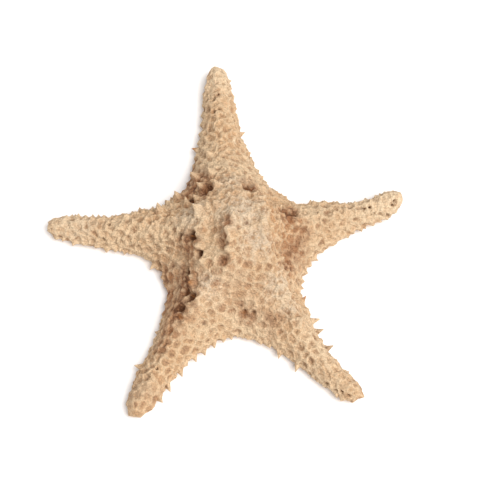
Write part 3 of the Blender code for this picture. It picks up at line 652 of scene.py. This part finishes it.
def meeting_points(points, nearest, gaps):
    """Places where three cells of the net meet, one for each group of three neighbours."""
    best = {}
    for index, group in enumerate(np.sort(nearest, axis=1)):
        key = tuple(group)
        gap = gaps[index, 2] - gaps[index, 0]
        if key not in best or gap < best[key][0]:
            best[key] = (gap, index)
    chosen = [index for gap, index in best.values() if gap < MEETING_GAP
              and points[index, 2] > KNOB_LEAST_HEIGHT]
    return points[chosen]


def bump_rise(points, centres, heights, radius, sharpness):
    """Height of round bumps at centres, each with its own height."""
    tree = tree_of(centres)
    found = [tree.find(point)[1:] for point in points]
    owner = np.array([index for index, _ in found])
    near = np.clip(1.0 - np.array([gap for _, gap in found]) / radius, 0.0, 1.0)
    return heights[owner] * near ** sharpness, near


def net_relief(points, pits):
    """Height of the net over its pits, and the values that colour it."""
    tree = tree_of(pits)
    shaken = points
    for size, amount in NET_SHAKES:
        shaken = warped(shaken, size, amount)
    found = [tree.find_n(point, 3) for point in shaken]
    nearest = np.array([[item[1] for item in three] for three in found])
    gaps = np.array([[item[2] for item in three] for three in found])
    chance = np.random.default_rng(SEED)
    cell = chance.uniform(0.0, 1.0, len(pits))[nearest[:, 0]]
    ridge = np.exp(-((gaps[:, 1] - gaps[:, 0]) / RIDGE_WIDTH) ** 2)
    knobs = meeting_points(points, nearest, gaps)
    heights = KNOB_HEIGHT * knobbiness(knobs) * chance.uniform(*KNOB_UNEVEN, len(knobs))
    knob, near = bump_rise(points, knobs, heights, KNOB_RADIUS, KNOB_SHARPNESS)
    knob = knob * (KNOB_OFF_RIDGE + (1.0 - KNOB_OFF_RIDGE) * ridge)
    knob = knob * (1.0 - STAIN_FLATNESS * patchy(points, STAINS_AND_SHADE))
    ridge_share = np.clip(RIDGE_SHARE + RIDGE_SHARE_SPREAD * rough(points, RIDGE_PATCH), *RIDGE_SHARE_SPAN)
    core = np.exp(-(gaps[:, 0] / PIT_RADIUS) ** 2)
    deep = PIT_DEPTH * share_by_arm(points, PIT_SHARES, PIT_SHARE_DISC)
    deep = deep * (PIT_DEPTH_LEAST + PIT_DEPTH_SPREAD * cell ** PIT_DEPTH_POWER)
    wave = WAVE_HEIGHT * rough(points, WAVE_SIZE)
    grain = GRAIN_HEIGHT * rough(points, GRAIN_SIZE) + GRANULE_HEIGHT * rough(points, GRANULE_SIZE)
    height = strength(points) * (RIDGE_HEIGHT * ridge_share * ridge - deep * core + knob + wave + grain)
    return height, {"pit": 1.0 - ridge, "core": core, "cell": cell, "knob": near}


def top_point(x, y):
    """Point of the upper side above a plan position, found from high up downwards."""
    heights = np.arange(DISC_HEIGHT + SEARCH_ABOVE, 0.0, -SEARCH_STEP)
    column = np.stack([np.full_like(heights, x), np.full_like(heights, y), heights], axis=1)
    inside = np.nonzero(form(column) < 0.0)[0]
    return column[inside[0]] if len(inside) else np.array([x, y, MARGIN_HEIGHT])


def hollow_depth(points):
    """Depth of the hollows and holes of the upper side."""
    depth = np.zeros(len(points))
    shake = warped(points, HOLLOW_SHAKE_SIZE, HOLLOW_SHAKE) - points
    dents = HOLLOWS + tuple((x, y, radius, HOLE_DEPTH) for x, y, radius in HOLES)
    for x, y, radius, deep in dents:
        share = np.clip((radius - HOLLOW_SHAKEN_FROM) / HOLLOW_SHAKEN_FROM, 0.0, 1.0)
        gap = np.linalg.norm(points + shake * share - top_point(x, y), axis=1) / radius
        depth = np.maximum(depth, deep * np.clip(1.0 - gap ** 2, 0.0, 1.0) ** HOLLOW_STEEPNESS)
    return depth


def hidden(points, outward, reach=15.0):
    """How far points lie in a recess, from 0 in the open to 1, by the clearance above them; it sets the
    painted shade of recesses.
    """
    steepness = np.linalg.norm(slope(points), axis=1)
    clear = (form(points + outward * reach) - form(points)) / (reach * steepness)
    return np.clip(1.0 - clear, 0.0, 1.0)


def patchy(points, spots):
    """Strength of patches at points, from 0 to 1, with ragged edges."""
    share = np.zeros(len(points))
    ragged = PATCH_RAGGEDNESS * rough(points, PATCH_EDGE_SIZE)
    for x, y, radius, amount in spots:
        gap = np.linalg.norm(points - top_point(x, y), axis=1) / radius
        share = np.maximum(share, amount * np.clip(PATCH_REACH - gap + ragged, 0.0, 1.0))
    return share


def margin_point(heading):
    """Point where a ray from the centre at a heading leaves the body at the margin's height."""
    reach = np.arange(MARGIN_SEARCH_FROM, MARGIN_SEARCH_TO, SEARCH_STEP)
    x, y = polar(heading, 1.0)
    ray = np.stack([reach * x, reach * y, np.full_like(reach, MARGIN_HEIGHT)], axis=1)
    outside = np.nonzero(form(ray) > 0.0)[0]
    return ray[outside[0]]


def margin_near(x, y):
    """Point of the margin nearest to a plan position."""
    point = np.array([[x, y, MARGIN_HEIGHT]])
    for _ in range(12):
        grade = slope(point)[0, :2]
        step = form(point)[0] / max(float(grade @ grade), LEAST_GRADE)
        point[0, :2] -= grade * np.clip(step, -LONGEST_MARGIN_STEP, LONGEST_MARGIN_STEP)
    return point[0]


def straight_out(foot, rise=0.0):
    """Direction straight out of the body at a foot, tipped up by a rise."""
    grade = slope(np.array([foot]))[0]
    grade = grade / np.linalg.norm(grade) + (0.0, 0.0, rise)
    return grade / np.linalg.norm(grade)


def thorn_of(foot, direction, length, radius):
    """One thorn as a row of numbers: foot, direction, length, radius and rust."""
    gap = min(math.dist(foot[:2], place) for place in RUSTY_FEET)
    return (*foot, *direction, length, radius, float(gap < RUSTY_REACH))


def long_margin_thorns():
    """Long thorns of the margin, each turned to its own heading."""
    thorns = []
    for thorn in LONG_MARGIN_THORNS:
        direction = (*polar(thorn.heading, 1.0 - MARGIN_THORN_RISE ** 2 / 2.0), MARGIN_THORN_RISE)
        radius = THORN_LEAST_RADIUS + THORN_SLIMNESS * thorn.length
        thorns.append(thorn_of(margin_near(thorn.x, thorn.y), direction, thorn.length, radius))
    return thorns


def margin_teeth(pick, long_feet):
    """Teeth at an even spacing all round the margin, left out close to a long thorn."""
    teeth = []
    travelled = MARGIN_SPACING
    before = margin_point(0.0)
    for heading in np.arange(0.0, 360.0, 0.25):
        here = margin_point(heading)
        travelled += np.linalg.norm(here - before)
        before = here
        clear = np.linalg.norm(long_feet - here, axis=1).min() > LONG_CLEARANCE
        if travelled > MARGIN_SPACING and clear:
            travelled = 0.0
            length = MARGIN_TOOTH * pick.uniform(*UNEVEN)
            teeth.append(thorn_of(here, straight_out(here), length, MARGIN_RADIUS))
    return teeth


def keel_thorns(pick):
    """Low thorns in an uneven row along the keel of each arm."""
    thorns = []
    for arm in ARMS:
        for along in np.arange(KEEL_FROM, arm.length - KEEL_STOP, KEEL_SPACING):
            x, y = polar(arm.heading, along + pick.uniform(-KEEL_SHIFT_ALONG, KEEL_SHIFT_ALONG))
            across = arm.sway + pick.uniform(-KEEL_SHIFT_ACROSS, KEEL_SHIFT_ACROSS)
            across_x, across_y = polar(arm.heading + 90.0, across)
            foot = top_point(x + across_x, y + across_y)
            length = KEEL_THORN * pick.uniform(*UNEVEN)
            radius = THORN_LEAST_RADIUS + CONE_SLIMNESS * length
            thorns.append(thorn_of(foot, straight_out(foot), length, radius))
    return thorns


def disc_thorns():
    """Broad cones of the disc, tipped up a little."""
    thorns = []
    for x, y, length in DISC_THORNS:
        foot = top_point(x, y)
        radius = THORN_LEAST_RADIUS + CONE_SLIMNESS * length
        thorns.append(thorn_of(foot, straight_out(foot, DISC_THORN_RISE), length, radius))
    return thorns


def all_thorns():
    """Every thorn of the star, one to a row, rounded so that each run gives the same."""
    pick = random.Random(SEED)
    long_ones = long_margin_thorns()
    teeth = margin_teeth(pick, np.array(long_ones)[:, :3])
    return np.round(np.array(long_ones + teeth + keel_thorns(pick) + disc_thorns()), 6)


def thorn_push(points, thorns):
    """Displacement that draws the surface out into thorns, how near each tip, and its rust."""
    tree = tree_of(points)
    push = np.zeros_like(points)
    tipness = np.zeros(len(points))
    rust = np.zeros(len(points))
    for row in thorns:
        foot, direction, length, radius, stain = row[:3], row[3:6], row[6], row[7], row[8]
        for _, index, gap in tree.find_range(foot, radius):
            near = 1.0 - gap / radius
            rise = length * near ** THORN_TAPER
            if rise > np.linalg.norm(push[index]):
                push[index] = direction * rise
                tipness[index] = near * min(length / PALE_THORN, 1.0)
                rust[index] = near * stain
    return push, tipness, rust


def groove_rise(points):
    """Height of the roof of the mouth and of the grooves above the flat underside."""
    rise = MOUTH_DEPTH * np.clip(1.0 - (np.hypot(points[:, 0], points[:, 1]) / MOUTH_RADIUS) ** 2, 0, 1)
    for arm in ARMS:
        along, across, part = arm_coordinates(arm, points[:, 0], points[:, 1])
        plates = 1.0 + PLATE_SHARE * np.cos(along * 2.0 * math.pi / PLATE_SPACING)
        wall = np.clip(2.0 - 2.0 * np.abs(across) / (GROOVE_HALF_WIDTH * plates), 0.0, 1.0)
        end = np.clip((GROOVE_END - part) / GROOVE_RUN_OUT, 0.0, 1.0) * (along > 0.0)
        rise = np.maximum(rise, GROOVE_DEPTH * wall * end)
    return np.where(points[:, 2] < 0.01, rise, 0.0)


def carved(points, pits, thorns):
    """Final places of smooth surface points, and the values that colour them."""
    grade = slope(points)
    outward = grade / np.linalg.norm(grade, axis=1)[:, None]
    net, marks = net_relief(points, pits)
    hollow = hollow_depth(points)
    push, tipness, rust = thorn_push(points, thorns)
    shaped = points + outward * (net * (1.0 - tipness) - hollow)[:, None] + push
    groove = groove_rise(points)
    shaped[:, 2] = np.maximum(shaped[:, 2], 0.0) + groove
    # Painted shade goes with the recess depth, the stains and the hollows; the bleached places carry a
    # painted highlight too
    marks.update(hollow=np.clip(hollow / HOLE_DEPTH, 0.0, 1.0), tip=tipness, rust=rust,
                 hidden=hidden(points, outward), stain=patchy(points, STAINS_AND_SHADE),
                 bleach=patchy(points, BLEACHED_AND_LIT), worn=patchy(points, WORN), groove=groove / GROOVE_DEPTH)
    return shaped, marks


def refine_near(body, feet, radii):
    """Split the edges around thorns and holes to the thorn edge length."""
    tree = tree_of(feet)
    for _ in range(2):
        chosen = []
        for edge in body.edges:
            if edge.calc_length() > THORN_EDGE:
                middle = (edge.verts[0].co + edge.verts[1].co) * 0.5
                _, index, gap = tree.find(middle)
                if gap < radii[index] + THORN_SURROUND:
                    chosen.append(edge)
        split_edges(body, chosen)
    relax(body, 1)


def make_starfish(skin):
    """Fine mesh of the whole star, in its place in the frame."""
    # Without a seed, the noise vectors change with the time at which the script starts.
    noise.seed_set(SHAKE_SEED)
    body = make_body()
    pits = scatter_pits(vertex_array(body))
    thorns = all_thorns()
    holes = [(*top_point(x, y), radius) for x, y, radius in HOLES]
    spots = np.concatenate([thorns[:, (0, 1, 2, 7)], np.array(holes)])
    refine_near(body, spots[:, :3], spots[:, 3])
    shaped, marks = carved(vertex_array(body), pits, thorns)
    low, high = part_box("starfish")
    placed = (shaped + (*DISC_CENTRE, 0.0)) * MM
    move_vertices(body, np.clip(placed, low[:], high[:]))
    data = bpy.data.meshes.new("starfish_skin")
    body.to_mesh(data)
    body.free()
    for name, values in marks.items():
        mark = data.attributes.new(name, "FLOAT", "POINT")
        mark.data.foreach_set("value", np.asarray(values, np.float32))
    data.shade_smooth()
    data.materials.append(skin)
    piece = bpy.data.objects.new("starfish_skin", data)
    bpy.context.scene.collection.objects.link(piece)
    return piece


class Nodes:
    """Small helper that adds and links shader nodes of one material."""

    def __init__(self, name):
        self.material = bpy.data.materials.new(name)
        self.material.use_nodes = True
        self.tree = self.material.node_tree
        self.shader = self.tree.nodes["Principled BSDF"]

    def add(self, kind, inputs=None, **settings):
        """Node of a kind with its settings, its inputs given as values or as sockets."""
        node = self.tree.nodes.new(kind)
        for key, value in settings.items():
            setattr(node, key, value)
        for key, value in (inputs or {}).items():
            if isinstance(value, bpy.types.NodeSocket):
                self.tree.links.new(value, node.inputs[key])
            else:
                node.inputs[key].default_value = value
        return node

    def mark(self, name):
        """Value of a vertex attribute."""
        return self.add("ShaderNodeAttribute", attribute_name=name).outputs["Fac"]

    def math(self, operation, first, second, clamp=False):
        """Sum, product or other function of two values."""
        node = self.add("ShaderNodeMath", {0: first, 1: second}, operation=operation, use_clamp=clamp)
        return node.outputs[0]

    def span(self, value, low, high, to_low=0.0, to_high=1.0):
        """Value moved smoothly from one span to another."""
        names = {"Value": value, "From Min": low, "From Max": high, "To Min": to_low, "To Max": to_high}
        return self.add("ShaderNodeMapRange", names, interpolation_type="SMOOTHSTEP").outputs[0]

    def noise(self, place, scale, detail=4.0, roughness=0.55):
        """Cloudy noise, whose scale is in features to a metre."""
        names = {"Vector": place, "Scale": scale, "Detail": detail, "Roughness": roughness}
        return self.add("ShaderNodeTexNoise", names).outputs["Fac"]

    def cells(self, place, scale):
        """Distance from the middle of the nearest cell, whose scale is in cells to a metre."""
        return self.add("ShaderNodeTexVoronoi", {"Vector": place, "Scale": scale}).outputs["Distance"]

    def mix(self, share, first, second, blend="MIX"):
        """Colour between two colours."""
        node = self.add("ShaderNodeMix", data_type="RGBA", blend_type=blend)
        for socket, value in ((node.inputs[0], share), (node.inputs[6], first), (node.inputs[7], second)):
            if isinstance(value, bpy.types.NodeSocket):
                self.tree.links.new(value, socket)
            else:
                socket.default_value = value
        return node.outputs[2]


# Colours of the skin
CREAM = (0.590, 0.372, 0.205, 1.0)
PALE_CREAM = (0.690, 0.500, 0.315, 1.0)
# Whitened cream of the bleached places and of the painted highlight
BLEACHED_AND_LIT_CREAM = (0.800, 0.620, 0.420, 1.0)
WORN_GREY = (0.610, 0.478, 0.345, 1.0)
# Tan of random patches, and also the painted shade of recesses
TAN_AND_RECESS_SHADE = (0.510, 0.245, 0.106, 1.0)
PIT_TAN = (0.375, 0.218, 0.120, 1.0)
PIT_BROWN = (0.180, 0.095, 0.052, 1.0)
# Brown of the stains, and also of the painted shade of recesses; the grooves take it too
STAIN_AND_SHADE_BROWN = (0.345, 0.145, 0.060, 1.0)
# Near black of the painted shade in hollows, holes and the darkest stained recesses
RECESS_SHADE_BROWN = (0.120, 0.045, 0.018, 1.0)
RUST = (0.400, 0.150, 0.040, 1.0)

# Patterns of the skin, in features to a metre, and its bumps
CLOUD_SCALE = 38.0
PATCH_SCALE = 130.0
BLOT_SCALE = 340.0
GRAIN_SCALE = 760.0
PORE_SCALE = 700.0
GRANULE_SCALE = 620.0
GRANULE_SHARE = 0.9
BUMP_STRENGTH = 0.9
BUMP_DISTANCE = 0.0013
SKIN_ROUGHNESS = 0.8
SKIN_SPECULAR = 0.25

Patterns = namedtuple("Patterns", "place clouds patches blots grain")


def skin_patterns(nodes):
    """Noises on the star's own coordinates, from wide clouds down to grains."""
    place = nodes.add("ShaderNodeTexCoord").outputs["Object"]
    return Patterns(
        place=place,
        clouds=nodes.noise(place, CLOUD_SCALE),
        patches=nodes.noise(place, PATCH_SCALE),
        blots=nodes.noise(place, BLOT_SCALE, 3.0),
        grain=nodes.noise(place, GRAIN_SCALE, 4.0, 0.7),
    )


def weathered_cream(nodes, patterns):
    """Cream with painted shade in recesses (tan, with random tan patches), pale on ridges, grey where worn,
    and whiter where bleached and where a highlight is painted.
    """
    blots = patterns.blots
    base = nodes.mix(nodes.span(patterns.clouds, 0.38, 0.62), CREAM, PALE_CREAM)
    # Painted shade: recesses darkened towards tan by how deep they lie, plus random tan patches
    shade = nodes.math("ADD", nodes.span(nodes.mark("hidden"), 0.08, 0.6, 0.0, 0.7),
                       nodes.span(patterns.patches, 0.35, 0.75, -0.3, 0.35), clamp=True)
    base = nodes.mix(shade, base, TAN_AND_RECESS_SHADE)
    ridge = nodes.math("MULTIPLY", nodes.span(nodes.mark("pit"), 0.7, 0.1),
                       nodes.span(blots, 0.3, 0.6, 0.2, 0.7))
    base = nodes.mix(ridge, base, PALE_CREAM)
    worn = nodes.math("MULTIPLY", nodes.mark("worn"), nodes.span(blots, 0.32, 0.55, 0.1, 0.9))
    base = nodes.mix(worn, base, WORN_GREY)
    # Painted highlight on the right arm's raised tip, and bleaching elsewhere
    faded_and_lit = nodes.math("MULTIPLY", nodes.mark("bleach"), nodes.span(blots, 0.25, 0.6, 0.4, 1.0))
    return nodes.mix(faded_and_lit, base, BLEACHED_AND_LIT_CREAM)


def with_brown_pits(nodes, patterns, base):
    """Pits in soft brown, some of them with a dark heart."""
    cell = nodes.mark("cell")
    soft = nodes.math("MULTIPLY", nodes.span(nodes.mark("pit"), 0.2, 1.0),
                      nodes.span(cell, 0.0, 0.9, 0.30, 0.95))
    soft = nodes.math("MULTIPLY", soft, nodes.span(patterns.blots, 0.60, 0.38, 0.15, 1.0))
    base = nodes.mix(soft, base, PIT_TAN)
    heart = nodes.math("MULTIPLY", nodes.span(nodes.mark("core"), 0.55, 0.95), nodes.span(cell, 0.55, 0.95))
    heart = nodes.math("MULTIPLY", heart, nodes.span(patterns.blots, 0.42, 0.58))
    return nodes.mix(nodes.math("MULTIPLY", heart, 0.8), base, PIT_BROWN)


def with_stains_and_shade(nodes, patterns, base):
    """Old stains with painted shade of the recesses, darkest between the knobs, and rusty here and there.
    """
    stain, knob = nodes.mark("stain"), nodes.mark("knob")
    # Painted shade and dirt: the stained recesses are browned, least on the knobs
    share = nodes.math("MULTIPLY", stain, nodes.span(knob, 0.35, 1.0, 0.85, 0.3))
    base = nodes.mix(share, base, STAIN_AND_SHADE_BROWN)
    # Painted shade and dirt: darkest between the knobs of the stained recesses
    dark = nodes.math("MULTIPLY", stain, nodes.span(patterns.blots, 0.43, 0.57))
    dark = nodes.math("MULTIPLY", dark, nodes.span(knob, 0.2, 0.6, 0.9, 0.0))
    dirt_and_shade = nodes.mix(nodes.span(patterns.patches, 0.56, 0.66, 0.0, 0.7), RECESS_SHADE_BROWN, RUST)
    return nodes.mix(dark, base, dirt_and_shade)


def with_tips_and_hollows(nodes, patterns, base):
    """Pale tips of thorns, painted shade in the hollows and holes (near black, rusty in places), rusty
    thorns and brown grooves.
    """
    base = nodes.mix(nodes.span(nodes.mark("tip"), 0.25, 0.8, 0.0, 0.75), base, PALE_CREAM)
    # Painted shade: hollows and holes darkened to near black, with rusty patches
    hole = nodes.mix(nodes.span(patterns.blots, 0.55, 0.68, 0.0, 0.7), RECESS_SHADE_BROWN, RUST)
    base = nodes.mix(nodes.span(nodes.mark("hollow"), 0.35, 1.0, 0.0, 0.95), base, hole)
    base = nodes.mix(nodes.span(nodes.mark("rust"), 0.2, 0.8, 0.0, 0.8), base, RUST)
    return nodes.mix(nodes.span(nodes.mark("groove"), 0.3, 1.0, 0.0, 0.7), base, STAIN_AND_SHADE_BROWN)


def with_pores_and_grain(nodes, patterns, base):
    """Dark pores, most of them in the pits, and lighter and darker grains all over."""
    pores = nodes.cells(patterns.place, PORE_SCALE)
    share = nodes.math("MULTIPLY", nodes.span(pores, 0.34, 0.14),
                       nodes.span(nodes.mark("core"), 0.2, 0.9, 0.05, 0.65))
    base = nodes.mix(share, base, PIT_BROWN)
    light = nodes.span(patterns.grain, 0.28, 0.72, 0.76, 1.20)
    grey = nodes.add("ShaderNodeCombineColor", {0: light, 1: light, 2: light}).outputs[0]
    return nodes.mix(1.0, base, grey, "MULTIPLY")


def grainy_bump(nodes, patterns):
    """Bumps of the limy grains, with the gaps between them sunk."""
    granules = nodes.cells(patterns.place, GRANULE_SCALE)
    height = nodes.math("SUBTRACT", patterns.grain, nodes.math("MULTIPLY", granules, GRANULE_SHARE))
    settings = {"Height": height, "Strength": BUMP_STRENGTH, "Distance": BUMP_DISTANCE}
    return nodes.add("ShaderNodeBump", settings).outputs["Normal"]


def dried_skin():
    """Limy, sun-bleached skin: cream ridges, soft brown pits with pores, recesses darkened by dirt and
    painted shade, and a painted highlight on one tip.
    """
    nodes = Nodes("dried skin")
    patterns = skin_patterns(nodes)
    base = weathered_cream(nodes, patterns)
    for layer in (with_brown_pits, with_stains_and_shade, with_tips_and_hollows, with_pores_and_grain):
        base = layer(nodes, patterns, base)
    nodes.tree.links.new(base, nodes.shader.inputs["Base Color"])
    nodes.tree.links.new(grainy_bump(nodes, patterns), nodes.shader.inputs["Normal"])
    nodes.shader.inputs["Roughness"].default_value = SKIN_ROUGHNESS
    nodes.shader.inputs["Specular IOR Level"].default_value = SKIN_SPECULAR
    return nodes.material


def floor_finish():
    """Plain white card."""
    nodes = Nodes("floor")
    nodes.shader.inputs["Base Color"].default_value = FLOOR_WHITE
    nodes.shader.inputs["Roughness"].default_value = 0.9
    return nodes.material


def make_floor():
    """Plain pale floor under the star."""
    sheet = bmesh.new()
    bmesh.ops.create_grid(sheet, x_segments=1, y_segments=1, size=FLOOR_REACH)
    bmesh.ops.translate(sheet, verts=sheet.verts, vec=(0.0, 0.0, -FLOOR_GAP))
    data = bpy.data.meshes.new("floor")
    sheet.to_mesh(data)
    sheet.free()
    data.materials.append(floor_finish())
    floor = bpy.data.objects.new("floor", data)
    bpy.context.scene.collection.objects.link(floor)


def add_sun(name, direction, energy, softness):
    """Soft far light that shines from a direction."""
    lamp = bpy.data.lights.new(name, "SUN")
    lamp.energy = energy
    lamp.angle = math.radians(softness)
    thing = bpy.data.objects.new(name, lamp)
    thing.rotation_euler = Vector(direction).to_track_quat("Z", "Y").to_euler()
    bpy.context.scene.collection.objects.link(thing)


def light_studio():
    """High key light from the near right, and an even white surround."""
    add_sun("key", KEY_DIRECTION, KEY_STRENGTH, KEY_SOFTNESS)
    world = bpy.data.worlds.new("surround")
    bpy.context.scene.world = world
    world.use_nodes = True
    background = world.node_tree.nodes["Background"]
    background.inputs["Color"].default_value = SURROUND_WHITE
    background.inputs["Strength"].default_value = SURROUND_STRENGTH
    bpy.context.scene.view_settings.view_transform = "Standard"


def make_camera():
    """Camera at the photograph's angle, with the disc's middle at its place in the picture."""
    raised = math.radians(90.0 - CAMERA_TILT)
    focal = CAMERA_DISTANCE / MM_PER_PIXEL
    right_by = DISC_PIXEL[0] - PICTURE_WIDTH / 2
    down_by = DISC_PIXEL[1] - PICTURE_HEIGHT / 2
    aim_y = down_by * CAMERA_DISTANCE / (focal * math.sin(raised) + down_by * math.cos(raised))
    aim_x = -right_by * (CAMERA_DISTANCE - aim_y * math.cos(raised)) / focal
    back = Vector((0.0, -math.cos(raised), math.sin(raised)))
    aim = Vector((aim_x + DISC_CENTRE[0], aim_y + DISC_CENTRE[1], 0.0))
    lens = bpy.data.cameras.new("camera")
    lens.sensor_width = SENSOR_WIDTH
    lens.lens = focal * SENSOR_WIDTH / PICTURE_WIDTH
    lens.clip_start = 0.01
    camera = bpy.data.objects.new("camera", lens)
    turn = back.to_track_quat("Z", "Y").to_matrix().to_4x4()
    camera.matrix_world = Matrix.Translation((aim + back * CAMERA_DISTANCE) * MM) @ turn
    bpy.context.scene.collection.objects.link(camera)
    bpy.context.scene.camera = camera


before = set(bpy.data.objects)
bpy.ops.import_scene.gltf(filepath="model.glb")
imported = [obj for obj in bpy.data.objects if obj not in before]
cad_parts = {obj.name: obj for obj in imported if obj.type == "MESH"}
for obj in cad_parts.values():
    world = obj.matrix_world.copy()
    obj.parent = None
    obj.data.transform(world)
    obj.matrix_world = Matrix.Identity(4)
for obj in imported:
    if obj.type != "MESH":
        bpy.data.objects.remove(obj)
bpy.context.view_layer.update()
make_camera()
light_studio()
make_floor()
starfish = make_starfish(dried_skin())
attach(starfish, "root")
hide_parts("starfish")
